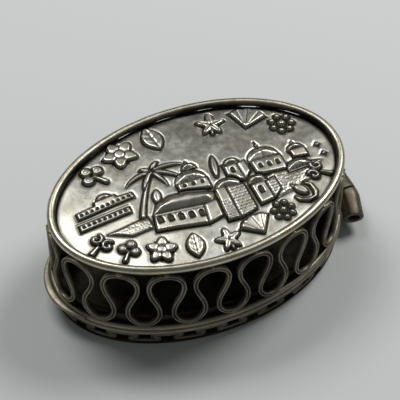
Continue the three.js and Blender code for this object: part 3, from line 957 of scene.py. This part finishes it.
def wire_hoop(name, offset, height, diameter, material, wobble):
    """Round wire bent round the oval, with the small unevenness of hand work."""
    shaper = Shaper(name, {
        "Half Length": HALF_LENGTH, "Half Width": HALF_WIDTH, "Offset": offset, "Height": height,
        "Radius": diameter / 2, "Wobble": wobble,
    })
    x, _, _ = shaper.place()
    point, normal = shaper.oval(x)
    out = shaper.vector_math("SCALE", normal, scale=shaper["Offset"])
    risen = shaper.vector(0.0, 0.0, shaper["Height"])
    centre = shaper.vector_math("ADD", shaper.vector_math("ADD", point, out), risen)
    ring = shaper.add("GeometryNodeSetPosition", inputs={"Geometry": shaper.geometry, "Position": centre})
    ring = shaper.add("GeometryNodeSetCurveNormal", {"mode": "Z_UP"}, {"Curve": ring})
    section = shaper.add(
        "GeometryNodeCurvePrimitiveCircle", inputs={"Resolution": 18, "Radius": shaper["Radius"]}
    )
    wire = shaper.add("GeometryNodeCurveToMesh", inputs={"Curve": ring, "Profile Curve": section})
    noise = shaper.add(
        "ShaderNodeTexNoise", inputs={"Vector": shaper.add("GeometryNodeInputPosition"), "Scale": 300.0}
    )
    swell = shaper.vector_math(
        "SCALE", shaper.add("GeometryNodeInputNormal"), scale=(noise - 0.5) * shaper["Wobble"]
    )
    wire = shaper.add("GeometryNodeSetPosition", inputs={"Geometry": wire, "Offset": swell})
    perimeter = oval_perimeter()
    steps = 360
    start = curve_object(name + "_line", [(perimeter * i / steps, 0, 0) for i in range(steps)], cyclic=True)
    return shaper.run(start, wire, name, material)


def solder_drops(name, places, wall_outside, radius, flatten, material):
    """Drops of solder at [length along the oval, height] places."""
    shaper = Shaper(name, {
        "Half Length": HALF_LENGTH, "Half Width": HALF_WIDTH, "Outside": wall_outside, "Radius": radius,
        "Seed": 7,
    })
    x, y, _ = shaper.place()
    point, normal = shaper.oval(x)
    out = shaper.vector_math("SCALE", normal, scale=shaper["Outside"])
    centre = shaper.vector_math("ADD", shaper.vector_math("ADD", point, out), shaper.vector(0.0, 0.0, y))
    dots = shaper.add("GeometryNodeSetPosition", inputs={"Geometry": shaper.geometry, "Position": centre})
    ball = shaper.add("GeometryNodeMeshIcoSphere", inputs={"Radius": shaper["Radius"], "Subdivisions": 3})
    size = shaper.nodes.node("FunctionNodeRandomValue", {"data_type": "FLOAT"}, {2: 0.75, 3: 1.25})
    shaper.tree.links.new(shaper["Seed"].socket, size.inputs["Seed"])
    ball = shaper.add(
        "GeometryNodeTransform", inputs={"Geometry": ball, "Scale": (1.0, 1.0, flatten)}
    )
    inputs = {"Points": dots, "Instance": ball, "Scale": Value(shaper.nodes, size.outputs[1])}
    drops = shaper.add("GeometryNodeInstanceOnPoints", inputs=inputs)
    mesh = bpy.data.meshes.new(name + "_places")
    mesh.from_pydata([(length, height, 0) for length, height in places], [], [])
    start = bpy.data.objects.new(name + "_places", mesh)
    bpy.context.scene.collection.objects.link(start)
    return shaper.run(start, drops, name, material)


WAVES = 18
WAVE_START = -0.17


def wall_room(node, perimeter):
    """Outer offset, middle, height and wave length of a wall of bent wire in the frame."""
    low, high = corners(node)
    return {
        "outside": front_offset(node), "middle": (low.z + high.z) / 2, "height": high.z - low.z,
        "period": perimeter / WAVES,
    }


def wave_recipe(room, face, depth, groove, headings):
    return {
        "count": WAVES, "period": room["period"], "start": WAVE_START * room["period"],
        "face": face, "depth": depth, "groove": groove,
        "line": wave_line(headings, room["period"], room["height"] - face),
    }


def contact_places(room, top_gap, bottom_gap):
    """Where the crowns of the waves meet the wires above and below them."""
    places = []
    for wave in range(WAVES):
        crown = (WAVE_START + wave) * room["period"] % (WAVES * room["period"])
        foot = (WAVE_START + wave + 0.5) * room["period"] % (WAVES * room["period"])
        places.append((crown, room["middle"] + room["height"] / 2 + top_gap))
        places.append((foot, room["middle"] - room["height"] / 2 - bottom_gap))
    return places


class SPICEBOX_OT_lid_wall(bpy.types.Operator):
    """Bends the lid's wall of grooved flat wire and solders it between its two hoops"""

    bl_idname = "spice_box.lid_wall"
    bl_label = "Lid wall"

    def execute(self, context):
        sizes = context.scene.spice_box_sizes
        metal = finishes()
        room = wall_room("lid_meander_front", oval_perimeter())
        face, depth = LID_WIRE_FACE, LID_WIRE_DEPTH
        wave = wave_recipe(room, face, depth, sizes.wire_groove, round_wave(1.985, 72))
        wall = {**room, "lean": 0.0}
        piece = wire_wall("lid_wall_wire", wave, wall, metal["handled_wire"])
        give(piece, "lid", "wire_silver", "lid_meander_front", "lid_meander_back")
        drops = solder_drops("lid_solder", contact_places(room, 0, 0), room["outside"] - depth * 0.55,
                             sizes.solder, 0.6, metal["solder"])
        give(drops, "lid", "wire_silver")
        return {"FINISHED"}


class SPICEBOX_OT_tray_wall(bpy.types.Operator):
    """Bends the tray's low gallery of squashed waves"""

    bl_idname = "spice_box.tray_wall"
    bl_label = "Tray gallery"

    def execute(self, context):
        sizes = context.scene.spice_box_sizes
        metal = finishes()
        room = wall_room("base_meander_front", oval_perimeter())
        plate_low, _ = corners("base_plate")
        lean = room["outside"] - (-plate_low.y - HALF_WIDTH)
        face, depth = TRAY_WIRE_FACE, TRAY_WIRE_DEPTH
        height, period = room["height"] - face, room["period"]
        headings = squashed_wave(0.575 * period, 0.2 * height, period, height, 72)
        wave = wave_recipe(room, face, depth, sizes.wire_groove * 0.6, headings)
        piece = wire_wall("tray_wall_wire", wave, {**room, "lean": lean}, metal["handled_wire"])
        give(piece, "tray", "wire_silver", "base_meander_front", "base_meander_back")
        return {"FINISHED"}


def mark_hoop(piece, height, diameter):
    """Marks the inner and under sides of a hoop dark in its `recess` attribute."""
    mesh = piece.data
    count = len(mesh.vertices)
    place, normal = np.empty(count * 3), np.empty(count * 3)
    mesh.vertices.foreach_get("co", place)
    mesh.vertex_normals.foreach_get("vector", normal)
    place, normal = place.reshape(-1, 3), normal.reshape(-1, 3)
    outward = np.stack([place[:, 0] / HALF_LENGTH**2, place[:, 1] / HALF_WIDTH**2], -1)
    outward /= np.linalg.norm(outward, axis=1, keepdims=True)
    facing = (normal[:, :2] * outward).sum(1)
    under = np.clip(0.1 - (place[:, 2] - height) / diameter, 0, 1) * 0.9
    set_attribute(mesh, "recess", np.clip(np.clip(-0.15 - facing, 0, 1) + under, 0, 1))


class SPICEBOX_OT_hoops(bpy.types.Operator):
    """Bends the three hoops of round wire"""

    bl_idname = "spice_box.hoops"
    bl_label = "Wire hoops"

    def execute(self, context):
        sizes = context.scene.spice_box_sizes
        metal = finishes()
        for name, node, body, slot, finish in (
            ("top_rim", "lid_top_rim", "lid", "bright_silver", "rubbed_rim"),
            ("lid_ring", "lid_lower_ring", "lid", "wire_silver", "handled_wire"),
            ("tray_ring", "base_top_ring", "tray", "wire_silver", "handled_wire"),
        ):
            low, high = corners(node)
            diameter = (high.z - low.z) / EIGHT_SIDES
            offset = high.y + diameter / 2 * (1 - EIGHT_SIDES) - HALF_WIDTH - diameter / 2
            piece = wire_hoop(name, offset, (low.z + high.z) / 2, diameter, metal[finish], sizes.hand_wobble)
            mark_hoop(piece, (low.z + high.z) / 2, diameter)
            give(piece, body, slot, node)
        return {"FINISHED"}


class SPICEBOX_OT_sheets(bpy.types.Operator):
    """Makes the tray's inner wall and floor and the plate's seat from sheet"""

    bl_idname = "spice_box.sheets"
    bl_label = "Collar, floor and seat"

    def execute(self, context):
        sizes = context.scene.spice_box_sizes
        metal = finishes()
        # The collar, seat and floor take the near-black inside finish, painted shade for the dim inside of the box.
        for name, node, body, width in (
            ("tray_collar", "base_collar", "tray", COLLAR_THICKNESS),
            ("plate_seat", "lid_bezel", "lid", SEAT_WIDTH),
        ):
            low, high = corners(node)
            outside = high.y - HALF_WIDTH
            section = rounded_box_section(outside - width, outside, low.z, high.z, sizes.bevel)
            piece = sweep_oval(name, section, metal["oxide_and_shade_inside"], wobble=sizes.hand_wobble)
            give(piece, body, "dark_silver", node)
        low, high = corners("base_plate")
        outside = high.y - HALF_WIDTH
        piece = oval_floor("tray_floor", outside, low.z, high.z, sizes.bevel, metal["oxide_and_shade_inside"])
        give(piece, "tray", "wire_silver", "base_plate")
        return {"FINISHED"}


def oval_floor(name, offset, bottom, top, bevel, material, steps=240):
    """A flat oval sheet with rounded edges."""
    angles = np.arange(steps) * 2 * math.pi / steps
    rings = []
    edge = rounded_box_section(offset - 2 * bevel, offset, bottom, top, bevel)
    for side in (bottom, top):
        shares = (0.03, 0.25, 0.5, 0.75, 0.92)
        for share in shares if side == bottom else shares[::-1]:
            plan = oval_points(angles, offset) * share
            ring = np.column_stack([plan, np.full(steps, side)])
            rings.append(ring)
        if side == bottom:
            for across, z in edge[: len(edge) // 2]:
                rings.append(np.column_stack([oval_points(angles, across), np.full(steps, z)]))
    vertices = np.concatenate(rings)
    faces = []
    for row in range(len(rings) - 1):
        for i in range(steps):
            after = (i + 1) % steps
            here, above = row * steps, (row + 1) * steps
            faces.append((here + i, here + after, above + after, above + i))
    last = (len(rings) - 1) * steps
    faces.append(tuple(range(steps - 1, -1, -1)))
    faces.append(tuple(last + i for i in range(steps)))
    return new_piece(name, vertices, faces, material, smooth=False)


# ---- Thumb lip and hinge -------------------------------------------------------------
def loft(name, sections, material, closed=False):
    """Skins a list of rings of equal length, with flat ends unless it is closed."""
    rings, count = len(sections), len(sections[0])
    vertices = [tuple(point) for ring in sections for point in ring]
    faces = []
    for i in range(rings if closed else rings - 1):
        for j in range(count):
            after, across = (i + 1) % rings * count, (j + 1) % count
            faces.append((i * count + j, i * count + across, after + across, after + j))
    if not closed:
        faces.append(tuple(range(count - 1, -1, -1)))
        faces.append(tuple((rings - 1) * count + j for j in range(count)))
    piece = new_piece(name, vertices, faces, material)
    mesh = bmesh.new()
    mesh.from_mesh(piece.data)
    bmesh.ops.recalc_face_normals(mesh, faces=mesh.faces)
    mesh.to_mesh(piece.data)
    mesh.free()
    return piece


class SPICEBOX_OT_thumb_lip(bpy.types.Operator):
    """Files the crescent that the thumb lifts"""

    bl_idname = "spice_box.thumb_lip"
    bl_label = "Thumb lip"

    def execute(self, context):
        low, high = corners("lid_thumb_lip")
        reach = -low.x - HALF_LENGTH
        start = front_offset("lid_lower_ring") + 0.05 * MM
        half_turn = math.asin(high.y / HALF_WIDTH) * 0.98
        sections = []
        steps, around = 48, 16
        for step in range(steps + 1):
            share = 2 * step / steps - 1
            depth = (reach - start) * (0.14 + 0.86 * math.cos(share * math.pi / 2) ** 0.9)
            angle = math.pi + share * half_turn
            thick = (high.z - low.z) / 2 * (0.8 + 0.2 * math.cos(share * math.pi / 2))
            ring = []
            for k in range(around):
                turn = 2 * math.pi * k / around
                c, s = math.cos(turn), math.sin(turn)
                out = start + depth * (0.5 + 0.5 * math.copysign(abs(c) ** 0.6, c))
                rise = thick * math.copysign(abs(s) ** 0.6, s) * (1.0 - 0.3 * (0.5 + 0.5 * c))
                x, y = oval_points(np.array([angle]), out)[0]
                ring.append((x, y, (low.z + high.z) / 2 + rise))
            sections.append(ring)
        piece = loft("thumb_lip", sections, finishes()["handled_wire"])
        set_attribute(piece.data, "recess", np.full(len(piece.data.vertices), 0.1))
        give(piece, "lid", "wire_silver", "lid_thumb_lip")
        return {"FINISHED"}


def tube_profile(length, outer, bore, soft):
    """[radius, distance] points round the wall of a short tube with softened lips."""
    points = [(bore, soft * 0.6), (bore + soft * 0.6, 0.0)]
    for step in range(4):
        angle = math.pi / 2 * step / 3
        points.append((outer - soft + soft * math.sin(angle), soft * (1 - math.cos(angle))))
    middle = [(outer, length * share) for share in (0.2, 0.35, 0.5, 0.65, 0.8)]
    far_end = [(radius, length - distance) for radius, distance in reversed(points)]
    hole = [(bore, length * share) for share in (0.8, 0.65, 0.5, 0.35, 0.2)]
    return points + middle + far_end + hole


def roll_tube(name, start, end, radius, bore, soft, bend, material, around=40):
    """A tube along Y from `start` to `end`. Just past its start it may be knocked over,
    by `bend` radians towards the box and a good part of that downwards."""
    way = math.copysign(1, end - start)
    length = abs(end - start)
    reach = np.linspace(0, length, 400)
    aside = -bend * step_up(reach, 0.0, 0.3 * length)
    steps = np.stack([np.sin(aside), way * np.cos(aside), 0.75 * np.sin(aside)], -1)
    steps /= np.linalg.norm(steps, axis=1, keepdims=True)
    middle = np.cumsum(steps, axis=0) * (length / len(reach))
    rings = []
    for out, distance in tube_profile(length, radius, bore, soft):
        centre = Vector([np.interp(distance, reach, middle[:, axis]) for axis in range(3)])
        ahead = Vector([np.interp(distance, reach, steps[:, axis]) for axis in range(3)])
        side = ahead.cross(Vector((0, 0, 1))).normalized()
        up = side.cross(ahead)
        ring = []
        for k in range(around):
            angle = 2 * math.pi * k / around
            dent = 1 + 0.012 * math.sin(3 * angle + distance * 900) + 0.008 * math.sin(7 * angle)
            ring.append(
                Vector((HINGE.x, start, HINGE.z)) + centre
                + (side * math.cos(angle) + up * math.sin(angle)) * out * dent
            )
        rings.append(ring)
    return loft(name, rings, material, closed=True)


class SPICEBOX_OT_hinge(bpy.types.Operator):
    """Rolls the tubes of the hinge and fits its pin, saddles and strap"""

    bl_idname = "spice_box.hinge"
    bl_label = "Hinge"

    def execute(self, context):
        sizes = context.scene.spice_box_sizes
        metal = finishes()
        for name, node, body, bend in (
            ("front_tube", "hinge_knuckle_front", "tray", sizes.tube_bend),
            ("rear_tube", "hinge_knuckle_rear", "tray", 0.0),
            ("middle_tube", "lid_hinge_knuckle", "lid", 0.0),
        ):
            low, high = corners(node)
            start, end = (high.y, low.y) if bend else (low.y, high.y)
            radius = (high.z - low.z) / 2
            tube = roll_tube(name, start, end, radius, TUBE_BORE, sizes.bevel, bend, metal["brown_tube"])
            give(tube, body, "hinge_silver", node)
        low, high = corners("hinge_pin")
        radius = (high.z - low.z) / 2
        front = corners("hinge_knuckle_front")[1].y - PIN_SETBACK
        rings = []
        for y, share in ((front, 0.7), (front + 0.1 * MM, 0.92), (front + 0.3 * MM, 1.0),
                         (high.y - 0.3 * MM, 1.0), (high.y - 0.1 * MM, 0.92), (high.y, 0.7)):
            rings.append([(HINGE.x + radius * share * math.cos(a), y, HINGE.z + radius * share * math.sin(a))
                          for a in np.arange(24) * math.pi / 12])
        give(loft("pin", rings, metal["oxide_and_shade_inside"]), "tray", "dark_silver", "hinge_pin")
        for node, body, cut in (
            ("hinge_saddle_front", "tray", front - SAW_SETBACK), ("hinge_saddle_rear", "tray", None),
            ("lid_hinge_strap", "lid", None),
        ):
            piece = softened_copy(node, sizes.bevel, metal["brown_tube"], cut)
            give(piece, body, "hinge_silver", node)
        return {"FINISHED"}


def softened_copy(node, bevel, material, cut=None):
    """A copy of a small cast block with its edges rounded. What lies in front of y = `cut`
    is sawn off."""
    mesh = bmesh.new()
    mesh.from_mesh(frame["nodes"][node].data)
    bmesh.ops.remove_doubles(mesh, verts=mesh.verts, dist=1e-6)
    if cut is not None:
        whole = list(mesh.verts) + list(mesh.edges) + list(mesh.faces)
        sawn = bmesh.ops.bisect_plane(
            mesh, geom=whole, plane_co=(0, cut, 0), plane_no=(0, -1, 0), clear_outer=True
        )
        rim = [item for item in sawn["geom_cut"] if isinstance(item, bmesh.types.BMEdge)]
        bmesh.ops.contextual_create(mesh, geom=rim)
        bmesh.ops.recalc_face_normals(mesh, faces=mesh.faces)
    bmesh.ops.dissolve_limit(mesh, angle_limit=0.02, verts=mesh.verts, edges=mesh.edges)
    sharp = [edge for edge in mesh.edges if edge.is_manifold and edge.calc_face_angle() > 0.6]
    bmesh.ops.bevel(mesh, geom=sharp, offset=bevel, segments=3, affect="EDGES", clamp_overlap=True)
    made = bpy.data.meshes.new(node + "_soft")
    mesh.to_mesh(made)
    mesh.free()
    return finish_piece(node + "_soft", made, material)


# ---- Stage ---------------------------------------------------------------------------
VIEW_AZIMUTH, VIEW_ELEVATION, VIEW_ROLL = -25.63, 51.0, 0.68
VIEW_DISTANCE = 0.2547
VIEW_LENS = 144
VIEW_AIM = Vector((0.00237, 0.00419, RIM_TOP - 0.01081))


def view_axes(azimuth, elevation, roll):
    """The right, up and backward directions of an eye that looks at the box."""
    a, e, r = math.radians(azimuth), math.radians(elevation), math.radians(roll)
    back = Vector((math.sin(a) * math.cos(e), -math.cos(a) * math.cos(e), math.sin(e)))
    right = Vector((math.cos(a), math.sin(a), 0))
    up = back.cross(right)
    return math.cos(r) * right + math.sin(r) * up, math.cos(r) * up - math.sin(r) * right, back


def soft_light(name, azimuth, elevation, width, power):
    """A round lamp that looks at the middle of the box from `azimuth` and `elevation` degrees."""
    light = bpy.data.lights.new(name, "AREA")
    light.shape = "DISK"
    light.size = width
    light.energy = power
    lamp = bpy.data.objects.new(name, light)
    _, _, back = view_axes(azimuth, elevation, 0)
    lamp.location = back * LAMP_DISTANCE
    lamp.rotation_mode = "QUATERNION"
    lamp.rotation_quaternion = back.to_track_quat("Z", "Y")
    bpy.context.scene.collection.objects.link(lamp)


class SPICEBOX_OT_stage(bpy.types.Operator):
    """Sets the pale ground, the soft light and the camera"""

    bl_idname = "spice_box.stage"
    bl_label = "Stage"

    def execute(self, context):
        scene = context.scene
        mesh = bpy.data.meshes.new("ground")
        half = FLOOR_SIZE / 2
        ground = [(-half, -half, 0), (half, -half, 0), (half, half, 0), (-half, half, 0)]
        mesh.from_pydata(ground, [], [(0, 1, 2, 3)])
        material = bpy.data.materials.new("ground")
        material.use_nodes = True
        shader = material.node_tree.nodes["Principled BSDF"]
        shader.inputs["Base Color"].default_value = (*scene.spice_box_colours.floor, 1)
        shader.inputs["Roughness"].default_value = 0.9
        shader.inputs["Specular IOR Level"].default_value = 0.1
        finish_piece("ground", mesh, material, smooth=False)

        camera = bpy.data.cameras.new("camera")
        camera.lens = VIEW_LENS
        eye = bpy.data.objects.new("camera", camera)
        right, up, back = view_axes(VIEW_AZIMUTH, VIEW_ELEVATION, VIEW_ROLL)
        turn = Matrix((right, up, back)).transposed().to_4x4()
        eye.matrix_world = Matrix.Translation(VIEW_AIM + back * VIEW_DISTANCE) @ turn
        camera.clip_start, camera.clip_end = 0.01, 10
        scene.collection.objects.link(eye)
        scene.camera = eye

        world = bpy.data.worlds.new("studio")
        world.use_nodes = True
        world.node_tree.nodes["Background"].inputs["Color"].default_value = (0.95, 1.0, 0.99, 1)
        world.node_tree.nodes["Background"].inputs["Strength"].default_value = 0.12
        scene.world = world
        soft_light("back_left_light", VIEW_AZIMUTH + 225, 57, 0.2, 0.85)
        soft_light("back_right_light", VIEW_AZIMUTH + 132, 52, 0.2, 1.2)
        soft_light("upper_light", VIEW_AZIMUTH + 200, 66, 0.08, 0.2)
        scene.view_settings.view_transform = "Standard"
        return {"FINISHED"}


class SPICEBOX_PT_panel(bpy.types.Panel):
    """Buttons and sizes of the spice box"""

    bl_label = "Spice Box"
    bl_idname = "SPICEBOX_PT_panel"
    bl_space_type = "VIEW_3D"
    bl_region_type = "UI"
    bl_category = "Spice Box"

    def draw(self, context):
        layout = self.layout
        for group in (context.scene.spice_box_sizes, context.scene.spice_box_colours):
            for name in group.bl_rna.properties.keys():
                if name not in {"rna_type", "name"}:
                    layout.prop(group, name)
        for operator in OPERATORS:
            layout.operator(operator.bl_idname)


OPERATORS = (
    SPICEBOX_OT_plate, SPICEBOX_OT_hoops, SPICEBOX_OT_lid_wall, SPICEBOX_OT_tray_wall,
    SPICEBOX_OT_sheets, SPICEBOX_OT_thumb_lip, SPICEBOX_OT_hinge, SPICEBOX_OT_stage,
)
CLASSES = (SpiceBoxSizes, SpiceBoxColours, *OPERATORS, SPICEBOX_PT_panel)


def register():
    for each in CLASSES:
        bpy.utils.register_class(each)
    bpy.types.Scene.spice_box_sizes = PointerProperty(type=SpiceBoxSizes)
    bpy.types.Scene.spice_box_colours = PointerProperty(type=SpiceBoxColours)


def unregister():
    del bpy.types.Scene.spice_box_colours
    del bpy.types.Scene.spice_box_sizes
    for each in reversed(CLASSES):
        bpy.utils.unregister_class(each)


def main():
    register()
    for operator in OPERATORS:
        group, name = operator.bl_idname.split(".")
        getattr(getattr(bpy.ops, group), name)()


if __name__ == "__main__":
    main()
